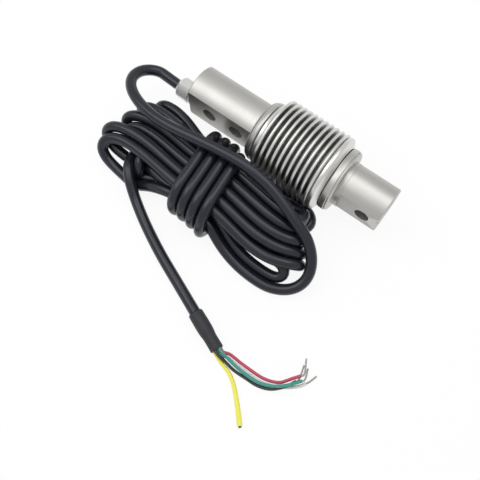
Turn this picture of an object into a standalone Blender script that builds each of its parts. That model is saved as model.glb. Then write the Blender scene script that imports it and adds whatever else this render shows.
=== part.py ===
# Cantilever beam load cell: a machined bar with three bolt holes, a metal bellows
# over its bending beam, a cable gland, and its cable tied in a hank.
# Metres, +Z up. The cell lies level along X on its bellows, load end at +X.
import math

import bpy
from mathutils import Matrix, Vector

# Clearance between pieces that touch
CLEARANCE = 0.0003

# Bar, measured along X from the face of the fixed end
CELL_LENGTH = 0.120
FIXED_RADIUS = 0.0140
FIXED_FLAT = 0.0100
LOAD_RADIUS = 0.0125
LOAD_FLAT = 0.0100
LOAD_LAND = 0.0030
EDGE_CHAMFER = 0.0005
RELIEF_WIDTH = 0.0004
RELIEF_DEPTH = 0.0003
HOLE_RADIUS = 0.0041
FIXED_HOLE_EDGE = 0.0137
HOLE_SPACING = 0.0173
LOAD_HOLE_EDGE = 0.0094
NOTCH_HEIGHT = 0.0012
NOTCH_RISE = 0.0032
NOTCH_DEPTH = 0.0006
NOTCH_LENGTH = 0.0009

# Bending beam inside the bellows, with a dog-bone window
BEAM_SHOULDER = 0.0031
BEAM_NECK_RADIUS = 0.0115
BEAM_HALF_WIDTH = 0.0050
BEAM_HALF_DEPTH = 0.0090
GAUGE_FACE_INSET = 0.0020
WINDOW_RADIUS = 0.0064
WINDOW_SPAN = 0.0140
WINDOW_SLOT = 0.0030

# Collars and bellows
FIXED_COLLAR_START = 0.0410
FIXED_COLLAR_WIDTH = 0.0046
FIXED_COLLAR_RADIUS = 0.0170
LOAD_COLLAR_WIDTH = 0.0051
LOAD_COLLAR_RADIUS = 0.0175
COLLAR_ROUND = 0.0011
CREST_RADIUS = 0.0216
FOLD_DEPTH = 0.0049
ROOT_RADIUS = CREST_RADIUS - FOLD_DEPTH
SHEET = 0.0004
PITCH = 0.0033
CONVOLUTIONS = 11
CREST_WIDTH = 0.0013
ROOT_WIDTH = 0.0012
FOLD_ROUND = 0.00045
NECK_RADIUS = 0.0172
CUFF_IN = 0.0036
CUFF_OUT = 0.0059
CUFF_INSET = 0.0004
CUFF_RADIUS = CREST_RADIUS - CUFF_INSET
CUFF_START = 0.0013
CUFF_LAND = 0.0026
CUFF_SLOPE = ((0.0015, 0.30), (0.0006, 0.75))

# Gland, off the axis so that the bore for its leads clears the bolt holes
GLAND_Y = -0.0030
GLAND_Z = -0.0042
SOCKET_RADIUS = 0.0040
SOCKET_DEPTH = 0.0085
STEM_LENGTH = 0.0045
STEM_BORE = 0.0019
FLANGE_RADIUS = 0.0056
FLANGE_THICK = 0.0014
HEX_CORNER = 0.0061
HEX_THICK = 0.0017
SPIGOT_RADIUS = 0.0042
SPIGOT_LENGTH = 0.0044
NUT_CORNER = 0.00635
NUT_REACH = 0.0126
NUT_LENGTH = 0.0086
NUT_END_WALL = 0.0021
NUT_NOSE = 0.0024
HEX_TURN = math.radians(105.7)
RING_CORD = 0.00035
LEAD_BORE_Z = -0.0066
LEAD_BORE_RADIUS = 0.0015
LEAD_RADIUS = 0.0004
LEAD_STEP = 0.0018

# Gauges and board
GAUGE_LENGTH = 0.0070
GAUGE_WIDTH = 0.0060
GAUGE_THICK = 0.0003
BOARD_LENGTH = 0.0055
BOARD_WIDTH = 0.0130
BOARD_THICK = 0.0008
BOARD_SETBACK = 0.0018
CHIP_SIZE = (0.0028, 0.0016, 0.0007)
CHIP_PLACES = (0.0018, 0.0046)

# Cable, hank, end sleeve and conductors. Their routes were laid with the fixed face at
# this X, and they move with it
ROUTE_FACE_X = -0.0537
CABLE_RADIUS = 0.0030
SHEATH_END = 0.0012
HANK_HEIGHT = 0.0215
HANK_EDGE = 0.0040
WAIST_HEIGHT = 0.0285
WAIST_SIDES = (-0.0625, -0.0176)
WAIST_ENDS = (-0.0331, -0.0068)
WAIST_EDGE = 0.0026
SLEEVE_RADIUS = 0.0041
SLEEVE_ENDS = ((0.0170, -0.0972, 0.0042), (0.0372, -0.1053, 0.0037))
SLEEVE_WIDTHS = (0.94, 1.0, 0.99, 0.975, 0.94, 0.89, 0.87, 0.86, 0.86)
WIRE_RADIUS = 0.00085
WIRE_LEAD_OUT = 0.0020
TIP_RADIUS = 0.0005
TIP_ROOT = 0.0012
SHIELD_RADIUS = 0.0014
SHIELD_NARROW = 0.62
SHIELD_TIP_RADIUS = 0.0008
SHIELD_TIP_LENGTH = 0.0010
FAN_RADIUS = 0.00195

STEEL = (0.62, 0.61, 0.59)
BRIGHT = (0.70, 0.70, 0.69)
NICKEL = (0.66, 0.66, 0.62)
BLACK = (0.018, 0.019, 0.023)
RUBBER = (0.03, 0.03, 0.03)
WIRE_COLOURS = {
    "red": (0.55, 0.03, 0.06),
    "white": (0.80, 0.80, 0.78),
    "green": (0.02, 0.30, 0.22),
    "black": (0.02, 0.02, 0.02),
}

# Places that follow from the sizes above
FACE_X = -(CELL_LENGTH - NUT_REACH) / 2
AXIS_Z = CREST_RADIUS
ROUTE_SHIFT = FACE_X - ROUTE_FACE_X
FIXED_COLLAR_END = FIXED_COLLAR_START + FIXED_COLLAR_WIDTH
BELLOWS_START = FIXED_COLLAR_END + CLEARANCE
FIRST_CREST = BELLOWS_START + CUFF_IN
LAST_CREST = FIRST_CREST + (CONVOLUTIONS - 1) * PITCH
BELLOWS_END = LAST_CREST + CUFF_OUT
LOAD_COLLAR_START = BELLOWS_END + CLEARANCE
LOAD_COLLAR_END = LOAD_COLLAR_START + LOAD_COLLAR_WIDTH
LOAD_FLAT_START = LOAD_COLLAR_END + LOAD_LAND
LOAD_SEAT_START = BELLOWS_END - CLEARANCE
BEAM_START = BELLOWS_START + BEAM_SHOULDER
BEAM_END = LOAD_SEAT_START - BEAM_SHOULDER
WINDOW_ENDS = (
    (BEAM_START + BEAM_END - WINDOW_SPAN) / 2,
    (BEAM_START + BEAM_END + WINDOW_SPAN) / 2,
)
HOLES = (FIXED_HOLE_EDGE, FIXED_HOLE_EDGE + HOLE_SPACING, CELL_LENGTH - LOAD_HOLE_EDGE)
CABLE_BORE = CABLE_RADIUS + CLEARANCE
OVERSHOOT = 0.002

for old in list(bpy.data.objects):
    bpy.data.objects.remove(old, do_unlink=True)

load_cell = bpy.data.collections.new("load_cell")
cutters = bpy.data.collections.new("cutters")
for group in (load_cell, cutters):
    bpy.context.scene.collection.children.link(group)


def adopt(obj, group=load_cell):
    """Keep the object in one collection."""
    for home in list(obj.users_collection):
        home.objects.unlink(obj)
    group.objects.link(obj)
    return obj


def tool(obj):
    """Turn a body into a cutter."""
    adopt(obj, cutters)
    obj.hide_render = True
    obj.display_type = "WIRE"
    return obj


def paint(obj, colour, metallic=0.0, roughness=0.5):
    """Give the object its own Principled material."""
    mat = bpy.data.materials.new(obj.name + "_finish")
    mat.use_nodes = True
    shader = mat.node_tree.nodes["Principled BSDF"]
    shader.inputs["Base Color"].default_value = (*colour, 1.0)
    shader.inputs["Metallic"].default_value = metallic
    shader.inputs["Roughness"].default_value = roughness
    mat.diffuse_color = (*colour, 1.0)
    obj.data.materials.clear()
    obj.data.materials.append(mat)


def combine(obj, other, operation="DIFFERENCE"):
    """Add an exact Boolean with a cutter."""
    cut = obj.modifiers.new(other.name, "BOOLEAN")
    cut.operation = operation
    cut.solver = "EXACT"
    cut.object = tool(other)


def at(x, y=0.0, z=0.0):
    """A place given along the bar from its fixed face, and across from its axis."""
    return Vector((FACE_X + x, y, AXIS_Z + z))


def laid(points):
    """Places on a route of the cable, moved with the fixed face."""
    return [Vector((x + ROUTE_SHIFT, y, z)) for x, y, z in points]


def turned(name, outline, steps, y=0.0, z=0.0):
    """Turn (x, radius) pairs, listed towards +X on the outer side, around a line along X."""
    points = [(radius, 0.0, x) for x, radius in reversed(outline)]
    edges = [(i, i + 1) for i in range(len(points) - 1)]
    if outline[0][1] > 0.0:
        edges.append((len(points) - 1, 0))
    mesh = bpy.data.meshes.new(name)
    mesh.from_pydata(points, edges, [])
    obj = adopt(bpy.data.objects.new(name, mesh))
    obj.location = at(0.0, y, z)
    obj.rotation_euler = (0.0, math.pi / 2, 0.0)
    screw = obj.modifiers.new("turn", "SCREW")
    screw.axis = "Z"
    screw.angle = math.tau
    screw.steps = steps
    screw.render_steps = steps
    screw.use_merge_vertices = True
    screw.merge_threshold = 0.00001
    screw.use_smooth_shade = True
    return obj


def prism(name, start, end, radius, sides, y=0.0, z=0.0, turn=0.0):
    """A prism or cylinder along X between two places on the bar."""
    bpy.ops.mesh.primitive_cylinder_add(vertices=sides, radius=radius, depth=end - start)
    obj = adopt(bpy.context.object)
    obj.name = name
    obj.location = at((start + end) / 2, y, z)
    across = Matrix.Rotation(math.pi / 2, 3, "Y")
    obj.rotation_euler = (across @ Matrix.Rotation(turn, 3, "Z")).to_euler()
    return obj


def drill(name, x, radius, half_length, along_y):
    """A round tool across the bar, along Y or Z."""
    bpy.ops.mesh.primitive_cylinder_add(vertices=32, radius=radius, depth=2 * half_length)
    obj = bpy.context.object
    obj.name = name
    obj.location = at(x)
    if along_y:
        obj.rotation_euler = (math.pi / 2, 0.0, 0.0)
    return obj


def box(name, low, high, origin=Vector((0.0, 0.0, 0.0))):
    """A box between two corners."""
    bpy.ops.mesh.primitive_cube_add(size=1.0)
    obj = adopt(bpy.context.object)
    obj.name = name
    size = Matrix.Diagonal([b - a for a, b in zip(low, high)] + [1.0])
    obj.data.transform(size)
    obj.location = origin + (Vector(low) + Vector(high)) / 2
    return obj


def sided(side, near, far):
    """Two distances on one side of the axis, in rising order."""
    return sorted((side * near, side * far))


def smooth(points, steps):
    """Points along a Catmull-Rom curve through the given ones."""
    pts = [Vector(p) for p in points]
    pts = [2 * pts[0] - pts[1]] + pts + [2 * pts[-1] - pts[-2]]
    out = []
    for i in range(1, len(pts) - 2):
        a, b, c, d = pts[i - 1:i + 3]
        for k in range(steps):
            t = k / steps
            out.append(0.5 * ((2 * b) + (c - a) * t + (2 * a - 5 * b + 4 * c - d) * t * t
                              + (3 * b - a - 3 * c + d) * t ** 3))
    out.append(pts[-2])
    return out


def tube(name, line, radius, widths=None, sides=2):
    """A round cord along a line of points, with closed ends."""
    curve = bpy.data.curves.new(name, "CURVE")
    curve.dimensions = "3D"
    curve.bevel_depth = radius
    curve.bevel_resolution = sides
    curve.use_fill_caps = True
    spline = curve.splines.new("POLY")
    spline.points.add(len(line) - 1)
    for i, place in enumerate(line):
        spline.points[i].co = (*place, 1.0)
        spline.points[i].radius = widths[i] if widths else 1.0
    spline.use_smooth = True
    return adopt(bpy.data.objects.new(name, curve))


def make_bar():
    """Fixed end, bending beam and load end, machined from one bar."""
    relief = LOAD_FLAT_START - 1.5 * RELIEF_WIDTH
    bar = turned("measuring_body", [
        (0.0, 0.0),
        (0.0, FIXED_RADIUS - EDGE_CHAMFER),
        (EDGE_CHAMFER, FIXED_RADIUS),
        (BELLOWS_START, FIXED_RADIUS),
        (BELLOWS_START, BEAM_NECK_RADIUS),
        (LOAD_SEAT_START, BEAM_NECK_RADIUS),
        (LOAD_SEAT_START, LOAD_RADIUS),
        (relief, LOAD_RADIUS),
        (relief, LOAD_RADIUS - RELIEF_DEPTH),
        (relief + RELIEF_WIDTH, LOAD_RADIUS - RELIEF_DEPTH),
        (relief + RELIEF_WIDTH, LOAD_RADIUS),
        (CELL_LENGTH - EDGE_CHAMFER, LOAD_RADIUS),
        (CELL_LENGTH, LOAD_RADIUS - EDGE_CHAMFER),
        (CELL_LENGTH, 0.0),
    ], 40)
    reach = FIXED_RADIUS + LOAD_RADIUS
    for side in (-1, 1):
        low, high = sided(side, FIXED_FLAT, reach)
        combine(bar, box(f"fixed_flat_tool_{side}", (-OVERSHOOT, low, -reach),
                         (FIXED_COLLAR_START - CLEARANCE, high, reach), at(0.0)))
        low, high = sided(side, LOAD_FLAT, reach)
        combine(bar, box(f"load_flat_tool_{side}", (LOAD_FLAT_START, low, -reach),
                         (CELL_LENGTH + OVERSHOOT, high, reach), at(0.0)))
        low, high = sided(side, BEAM_HALF_WIDTH, reach)
        combine(bar, box(f"beam_side_tool_{side}", (BEAM_START, -reach, low),
                         (BEAM_END, reach, high), at(0.0)))
        low, high = sided(side, BEAM_HALF_DEPTH, reach)
        combine(bar, box(f"gauge_face_tool_{side}", (BEAM_START + GAUGE_FACE_INSET, low, -reach),
                         (BEAM_END - GAUGE_FACE_INSET, high, reach), at(0.0)))
    for number, x in enumerate(HOLES, 1):
        combine(bar, drill(f"bolt_hole_tool_{number}", x, HOLE_RADIUS, reach, True))
    for number, x in enumerate(WINDOW_ENDS, 1):
        combine(bar, drill(f"window_tool_{number}", x, WINDOW_RADIUS, BEAM_HALF_WIDTH + OVERSHOOT, False))
    tall = BEAM_HALF_WIDTH + 2 * OVERSHOOT
    combine(bar, box("window_slot_tool", (WINDOW_ENDS[0], -WINDOW_SLOT, -tall),
                     (WINDOW_ENDS[1], WINDOW_SLOT, tall), at(0.0)))
    combine(bar, prism("socket_tool", -OVERSHOOT, SOCKET_DEPTH, SOCKET_RADIUS, 32, GLAND_Y, GLAND_Z))
    combine(bar, prism("ring_seat_tool", -2 * OVERSHOOT, 2 * RING_CORD + 2 * CLEARANCE,
                       FLANGE_RADIUS - CLEARANCE, 32, GLAND_Y, GLAND_Z))
    combine(bar, prism("lead_bore_tool", SOCKET_DEPTH - OVERSHOOT, BEAM_START + OVERSHOOT,
                       LEAD_BORE_RADIUS, 16, GLAND_Y, LEAD_BORE_Z))
    combine(bar, box("end_notch_tool",
                     (CELL_LENGTH - NOTCH_LENGTH, -LOAD_FLAT - OVERSHOOT, NOTCH_RISE - NOTCH_HEIGHT / 2),
                     (CELL_LENGTH + OVERSHOOT, NOTCH_DEPTH - LOAD_FLAT, NOTCH_RISE + NOTCH_HEIGHT / 2),
                     at(0.0)))
    paint(bar, STEEL, 1.0, 0.32)


def make_bellows():
    """One thin turned shell with a plain cuff at each end."""
    lip = (NECK_RADIUS, NECK_RADIUS - SHEET)
    half_crest, half_root = CREST_WIDTH / 2, ROOT_WIDTH / 2
    inner_crest, inner_root = half_crest - SHEET, half_root + 0.6 * SHEET
    outer = [(BELLOWS_START, lip[0]), (FIRST_CREST - 3.6 * half_crest, lip[0] + SHEET)]
    inner = [(BELLOWS_START, lip[1]), (FIRST_CREST - 1.8 * half_crest, lip[1] + SHEET)]
    for k in range(CONVOLUTIONS):
        x = FIRST_CREST + k * PITCH
        outer += [(x - half_crest, CREST_RADIUS - FOLD_ROUND), (x, CREST_RADIUS),
                  (x + half_crest, CREST_RADIUS - FOLD_ROUND)]
        inner += [(x - inner_crest, CREST_RADIUS - SHEET), (x + inner_crest, CREST_RADIUS - SHEET)]
        if k < CONVOLUTIONS - 1:
            root = x + PITCH / 2
            outer += [(root - half_root, ROOT_RADIUS + FOLD_ROUND), (root, ROOT_RADIUS),
                      (root + half_root, ROOT_RADIUS + FOLD_ROUND)]
            inner += [(root - inner_root, ROOT_RADIUS - SHEET), (root + inner_root, ROOT_RADIUS - SHEET)]
    drop = CUFF_RADIUS - lip[0]
    outer += [(LAST_CREST + CUFF_START, CUFF_RADIUS - SHEET),
              (LAST_CREST + CUFF_START + 1.8 * SHEET, CUFF_RADIUS), (BELLOWS_END - CUFF_LAND, CUFF_RADIUS)]
    outer += [(BELLOWS_END - reach, CUFF_RADIUS - part * drop) for reach, part in CUFF_SLOPE]
    outer += [(BELLOWS_END, lip[0])]
    inner += [(LAST_CREST + CUFF_START, CUFF_RADIUS - 2.2 * SHEET),
              (BELLOWS_END - CUFF_LAND - SHEET / 2, CUFF_RADIUS - 1.5 * SHEET),
              (BELLOWS_END - 2.5 * SHEET, lip[1] + 0.2 * drop), (BELLOWS_END, lip[1])]
    shell = turned("bellows", outer + inner[::-1], 26)
    paint(shell, BRIGHT, 1.0, 0.18)


def make_collars():
    """The two rings that carry the ends of the bellows."""
    start, end, top = FIXED_COLLAR_START, FIXED_COLLAR_END, FIXED_COLLAR_RADIUS
    bore = FIXED_RADIUS + CLEARANCE
    ring = turned("fixed_end_collar", [
        (start, top - 2 * COLLAR_ROUND), (start + 0.3 * COLLAR_ROUND, top - COLLAR_ROUND),
        (start + COLLAR_ROUND, top - 0.2 * COLLAR_ROUND), (start + 2 * COLLAR_ROUND, top),
        (end - 0.4 * COLLAR_ROUND, top), (end, top - 0.4 * COLLAR_ROUND), (end, bore), (start, bore),
    ], 36)
    paint(ring, STEEL, 1.0, 0.30)
    start, end, top = LOAD_COLLAR_START, LOAD_COLLAR_END, LOAD_COLLAR_RADIUS
    bore = LOAD_RADIUS + CLEARANCE
    ring = turned("load_end_collar", [
        (start, top - 0.5 * COLLAR_ROUND), (start + 0.5 * COLLAR_ROUND, top), (end - COLLAR_ROUND, top),
        (end - 0.4 * COLLAR_ROUND, top - 0.4 * COLLAR_ROUND), (end, top - COLLAR_ROUND),
        (end, bore), (start, bore),
    ], 36)
    paint(ring, STEEL, 1.0, 0.30)


def make_gauges():
    """Four strain gauges on the webs, over the ends of the window."""
    number = 0
    for side in (-1, 1):
        low, high = sided(side, BEAM_HALF_DEPTH + CLEARANCE, BEAM_HALF_DEPTH + CLEARANCE + GAUGE_THICK)
        for x in WINDOW_ENDS:
            number += 1
            gauge = box(f"strain_gauge_{number}", (x - GAUGE_LENGTH / 2, low, -GAUGE_WIDTH / 2),
                        (x + GAUGE_LENGTH / 2, high, GAUGE_WIDTH / 2), at(0.0))
            paint(gauge, (0.72, 0.44, 0.12), 0.0, 0.45)


def make_board():
    """Terminal board under the beam, with two trimming resistors."""
    face = -BEAM_HALF_WIDTH - CLEARANCE
    start = BEAM_START + BOARD_SETBACK
    board = box("terminal_board", (start, -BOARD_WIDTH / 2, face - BOARD_THICK),
                (start + BOARD_LENGTH, BOARD_WIDTH / 2, face), at(0.0))
    paint(board, (0.05, 0.22, 0.10), 0.0, 0.5)
    top = face - BOARD_THICK - CLEARANCE
    end = start + BOARD_LENGTH - CLEARANCE
    for number, y in enumerate(CHIP_PLACES, 1):
        chip = box(f"trim_resistor_{number}", (end - CHIP_SIZE[0], y - CHIP_SIZE[1] / 2, top - CHIP_SIZE[2]),
                   (end, y + CHIP_SIZE[1] / 2, top), at(0.0))
        paint(chip, (0.04, 0.04, 0.05), 0.0, 0.4)


def make_gland():
    """Gland body, nut, rubber seal and the ring that seals it to the bar."""
    flange_end = -CLEARANCE - FLANGE_THICK
    hex_end = flange_end - HEX_THICK
    spigot_end = hex_end - SPIGOT_LENGTH
    stem = SOCKET_RADIUS - CLEARANCE
    sheath_stop = SHEATH_END + CLEARANCE
    body = turned("gland_body", [
        (spigot_end, CABLE_BORE), (spigot_end, SPIGOT_RADIUS), (hex_end, SPIGOT_RADIUS),
        (hex_end, SPIGOT_RADIUS + 2 * CLEARANCE), (flange_end, SPIGOT_RADIUS + 2 * CLEARANCE),
        (flange_end, FLANGE_RADIUS), (-CLEARANCE, FLANGE_RADIUS), (-CLEARANCE, stem),
        (STEM_LENGTH, stem), (STEM_LENGTH, STEM_BORE), (sheath_stop, STEM_BORE), (sheath_stop, CABLE_BORE),
    ], 24, GLAND_Y, GLAND_Z)
    plate = prism("gland_hexagon_tool", hex_end, flange_end - CLEARANCE / 2, HEX_CORNER, 6,
                  GLAND_Y, GLAND_Z, HEX_TURN)
    combine(plate, prism("gland_hexagon_bore_tool", spigot_end, SOCKET_DEPTH,
                         SPIGOT_RADIUS + CLEARANCE, 24, GLAND_Y, GLAND_Z))
    combine(body, plate, "UNION")
    paint(body, NICKEL, 1.0, 0.22)

    start, end = -NUT_REACH, NUT_LENGTH - NUT_REACH
    nut = prism("gland_nut", start, end, NUT_CORNER, 6, GLAND_Y, GLAND_Z, HEX_TURN)
    over = CLEARANCE / 2
    combine(nut, turned("nut_envelope_tool", [
        (start - over, 0.0), (start - over, NUT_CORNER - NUT_NOSE),
        (start + 0.3 * NUT_NOSE, NUT_CORNER - 0.45 * NUT_NOSE),
        (start + 0.7 * NUT_NOSE, NUT_CORNER - 0.12 * NUT_NOSE), (start + NUT_NOSE, NUT_CORNER + over),
        (end - 0.2 * NUT_NOSE, NUT_CORNER + over), (end + over, NUT_CORNER - 0.2 * NUT_NOSE),
        (end + over, 0.0),
    ], 24, GLAND_Y, GLAND_Z), "INTERSECT")
    combine(nut, prism("nut_bore_tool", start + NUT_END_WALL, end + OVERSHOOT,
                       SPIGOT_RADIUS + CLEARANCE, 24, GLAND_Y, GLAND_Z))
    combine(nut, prism("nut_mouth_tool", start - OVERSHOOT, start + NUT_END_WALL + OVERSHOOT,
                       CABLE_BORE, 24, GLAND_Y, GLAND_Z))
    paint(nut, NICKEL, 1.0, 0.20)

    near, far = start + NUT_END_WALL + CLEARANCE, spigot_end - CLEARANCE
    seal = turned("gland_seal", [
        (near, CABLE_BORE), (near, SPIGOT_RADIUS - CLEARANCE), (far, SPIGOT_RADIUS), (far, CABLE_BORE),
    ], 24, GLAND_Y, GLAND_Z)
    paint(seal, RUBBER, 0.0, 0.8)

    bpy.ops.mesh.primitive_torus_add(major_segments=24, minor_segments=6,
                                     major_radius=SOCKET_RADIUS + 2 * RING_CORD, minor_radius=RING_CORD)
    ring = adopt(bpy.context.object)
    ring.name = "gland_o_ring"
    ring.location = at(RING_CORD, GLAND_Y, GLAND_Z)
    ring.rotation_euler = (0.0, math.pi / 2, 0.0)
    ring.data.shade_smooth()
    paint(ring, RUBBER, 0.0, 0.7)


def make_inner_leads():
    """Four leads from the end of the sheath, down the bore, to the terminal board."""
    spread = LEAD_RADIUS + CLEARANCE / 2
    over_board = -BEAM_HALF_WIDTH - 2 * CLEARANCE - BOARD_THICK - LEAD_RADIUS
    corners = ((-1, 1), (-1, -1), (1, 1), (1, -1))
    for number, (name, (dy, dz)) in enumerate(zip(WIRE_COLOURS, corners)):
        y = GLAND_Y + dy * spread
        finish = GLAND_Y + (number - 1.5) * LEAD_STEP
        line = [
            at(SHEATH_END + 2 * CLEARANCE, y, GLAND_Z + dz * spread),
            at(STEM_LENGTH, y, GLAND_Z + dz * spread),
            at(SOCKET_DEPTH - CLEARANCE, y, LEAD_BORE_Z + dz * spread),
            at(BEAM_START, y, LEAD_BORE_Z + dz * spread),
            at(BEAM_START + BOARD_SETBACK, finish, over_board),
            at(BEAM_START + BOARD_SETBACK + BOARD_LENGTH / 3, finish, over_board),
        ]
        paint(tube(f"inner_lead_{name}", line, LEAD_RADIUS), WIRE_COLOURS[name])


def make_cable():
    """Cable from the gland, around its tight turn and over the top of the hank."""
    straight = [at(x, GLAND_Y, GLAND_Z) for x in (SHEATH_END, -NUT_REACH / 2, -NUT_REACH - CLEARANCE * 3)]
    line = smooth(straight + laid([
        (-0.0730, -0.0029, 0.0178), (-0.0812, -0.0036, 0.0192), (-0.0872, -0.0085, 0.0218),
        (-0.0884, -0.0165, 0.0246), (-0.0838, -0.0233, 0.0270), (-0.0745, -0.0284, 0.0288),
        (-0.0660, -0.0311, 0.0297), (-0.0555, -0.0322, 0.0307), (-0.0400, -0.0306, 0.0316),
        (-0.0290, -0.0288, 0.0318), (-0.0035, -0.0262, 0.0318), (0.0080, -0.0268, 0.0302),
        (0.0190, -0.0285, 0.0274), (0.0280, -0.0320, 0.0250),
    ]), 3)
    paint(tube("cable_lead", line, CABLE_RADIUS), BLACK, 0.0, 0.42)


def make_hank():
    """The hank as one solid: its long loops, and the turns around its waist."""
    outline = smooth(laid([
        (-0.0852, -0.0465, 0), (-0.0843, -0.0540, 0), (-0.0790, -0.0588, 0), (-0.0690, -0.0607, 0),
        (-0.0560, -0.0600, 0), (-0.0330, -0.0584, 0), (-0.0060, -0.0596, 0), (0.0080, -0.0640, 0),
        (0.0220, -0.0674, 0), (0.0360, -0.0672, 0), (0.0490, -0.0620, 0), (0.0556, -0.0540, 0),
        (0.0560, -0.0445, 0), (0.0500, -0.0350, 0), (0.0400, -0.0272, 0), (0.0300, -0.0236, 0),
        (0.0020, -0.0232, 0), (-0.0130, -0.0230, 0), (-0.0340, -0.0213, 0), (-0.0560, -0.0165, 0),
        (-0.0660, -0.0148, 0), (-0.0735, -0.0165, 0), (-0.0778, -0.0225, 0), (-0.0797, -0.0310, 0),
        (-0.0827, -0.0388, 0), (-0.0852, -0.0465, 0),
    ]), 2)[:-1]
    plan = bpy.data.meshes.new("cable_hank")
    plan.from_pydata(outline, [], [tuple(range(len(outline)))])
    hank = adopt(bpy.data.objects.new("cable_hank", plan))
    height = hank.modifiers.new("height", "SOLIDIFY")
    height.thickness = HANK_HEIGHT
    height.offset = 1.0
    soft = hank.modifiers.new("soft_edges", "BEVEL")
    soft.width = HANK_EDGE
    soft.segments = 3
    soft.limit_method = "ANGLE"
    soft.angle_limit = math.radians(60)
    corners = laid([(WAIST_ENDS[0], WAIST_SIDES[0], 0.0), (WAIST_ENDS[1], WAIST_SIDES[1], WAIST_HEIGHT)])
    waist = box("waist_tool", *corners)
    round_waist = waist.modifiers.new("round", "BEVEL")
    round_waist.width = WAIST_EDGE
    round_waist.segments = 2
    combine(hank, waist, "UNION")
    paint(hank, BLACK, 0.0, 0.45)


def make_tail():
    """Tail of the cable and the shrink sleeve over the end of its sheath."""
    start, end = laid(SLEEVE_ENDS)
    along = (end - start).normalized()
    line = smooth(laid([
        (-0.0549, -0.0627, 0.0074), (-0.0510, -0.0656, 0.0054), (-0.0450, -0.0692, 0.0034),
        (-0.0352, -0.0745, 0.0030), (-0.0180, -0.0828, 0.0030), (-0.0030, -0.0890, 0.0030),
        (0.0060, -0.0927, 0.0032),
    ]) + [start - along * CABLE_RADIUS, start - along * CLEARANCE], 3)
    paint(tube("cable_tail", line, CABLE_RADIUS), BLACK, 0.0, 0.42)
    last = len(SLEEVE_WIDTHS) - 1
    line = [start.lerp(end, i / last) for i in range(last + 1)]
    paint(tube("end_sleeve", line, SLEEVE_RADIUS, SLEEVE_WIDTHS, sides=3), (0.025, 0.026, 0.03), 0.0, 0.6)


def make_conductors():
    """Four wires with tinned ends and the sleeved shield, fanned out of the end sleeve."""
    sleeve_start, sleeve_end = laid(SLEEVE_ENDS)
    along = (sleeve_end - sleeve_start).normalized()
    across = Vector((-along.y, along.x, 0.0))
    up = Vector((0.0, 0.0, 1.0))

    def mouth(degrees):
        turn = math.radians(degrees)
        return sleeve_end + along * CLEARANCE + (across * math.cos(turn) + up * math.sin(turn)) * FAN_RADIUS

    routes = {
        "red": (-16, (-0.0026, 0.0086), [
            (0.0434, -0.1033, 0.0024), (0.0500, -0.1033, 0.0012), (0.0570, -0.1032, 0.0010),
            (0.0632, -0.1028, 0.0010), (0.0683, -0.1013, 0.0010), (0.0718, -0.0992, 0.0012),
            (0.0736, -0.0969, 0.0018), (0.0756, -0.0941, 0.0026), (0.0780, -0.0909, 0.0028)]),
        "white": (272, (0.0022, 0.0060), [
            (0.0440, -0.1052, 0.0016), (0.0500, -0.1053, 0.0010), (0.0570, -0.1052, 0.0010),
            (0.0634, -0.1049, 0.0010), (0.0688, -0.1033, 0.0010), (0.0732, -0.1010, 0.0010),
            (0.0775, -0.0980, 0.0010), (0.0806, -0.0948, 0.0010), (0.0822, -0.0922, 0.0010)]),
        "green": (56, (-0.0010, 0.0068), [
            (0.0434, -0.1056, 0.0044), (0.0495, -0.1064, 0.0036), (0.0565, -0.1066, 0.0030),
            (0.0630, -0.1060, 0.0030), (0.0684, -0.1040, 0.0034), (0.0722, -0.1016, 0.0046),
            (0.0754, -0.0986, 0.0050), (0.0779, -0.0954, 0.0039), (0.0798, -0.0927, 0.0030)]),
        "black": (128, (-0.0012, 0.0090), [
            (0.0434, -0.1076, 0.0030), (0.0498, -0.1083, 0.0016), (0.0566, -0.1079, 0.0010),
            (0.0636, -0.1073, 0.0010), (0.0692, -0.1052, 0.0020), (0.0730, -0.1019, 0.0028),
            (0.0756, -0.0984, 0.0029), (0.0776, -0.0944, 0.0013)]),
    }
    for name, (degrees, tip_reach, points) in routes.items():
        start = mouth(degrees)
        line = smooth([start, start + along * WIRE_LEAD_OUT] + laid(points), 2)
        paint(tube(f"{name}_wire", line, WIRE_RADIUS), WIRE_COLOURS[name], 0.0, 0.45)
        heading = (line[-1] - line[-2]).normalized()
        bare = line[-1] + heading * CLEARANCE
        tip = [bare, bare + heading * TIP_ROOT, bare + Vector((*tip_reach, 0.0))]
        paint(tube(f"{name}_wire_tip", smooth(tip, 2), TIP_RADIUS), (0.55, 0.55, 0.53), 1.0, 0.35)

    start = mouth(200)
    line = smooth([start, start + along * WIRE_LEAD_OUT] + laid([
        (0.0426, -0.1092, 0.0017), (0.0480, -0.1106, 0.0014), (0.0530, -0.1134, 0.0014),
        (0.0577, -0.1174, 0.0014), (0.0628, -0.1224, 0.0015), (0.0679, -0.1278, 0.0016),
    ]), 2)
    last = len(line) - 1
    widths = [SHIELD_NARROW + (1 - SHIELD_NARROW) * (i / last) ** 1.5 for i in range(last + 1)]
    paint(tube("yellow_sleeve", line, SHIELD_RADIUS, widths), (0.75, 0.68, 0.05), 0.0, 0.5)
    heading = (line[-1] - line[-2]).normalized()
    ends = [line[-1] + heading * reach for reach in (CLEARANCE, CLEARANCE + SHIELD_TIP_LENGTH)]
    paint(tube("shield_tip", ends, SHIELD_TIP_RADIUS), (0.12, 0.11, 0.09), 0.6, 0.6)


make_bar()
make_bellows()
make_collars()
make_gauges()
make_board()
make_gland()
make_inner_leads()
make_cable()
make_hank()
make_tail()
make_conductors()
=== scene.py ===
import math

import bpy
import numpy as np
from mathutils import Matrix, Vector


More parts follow.
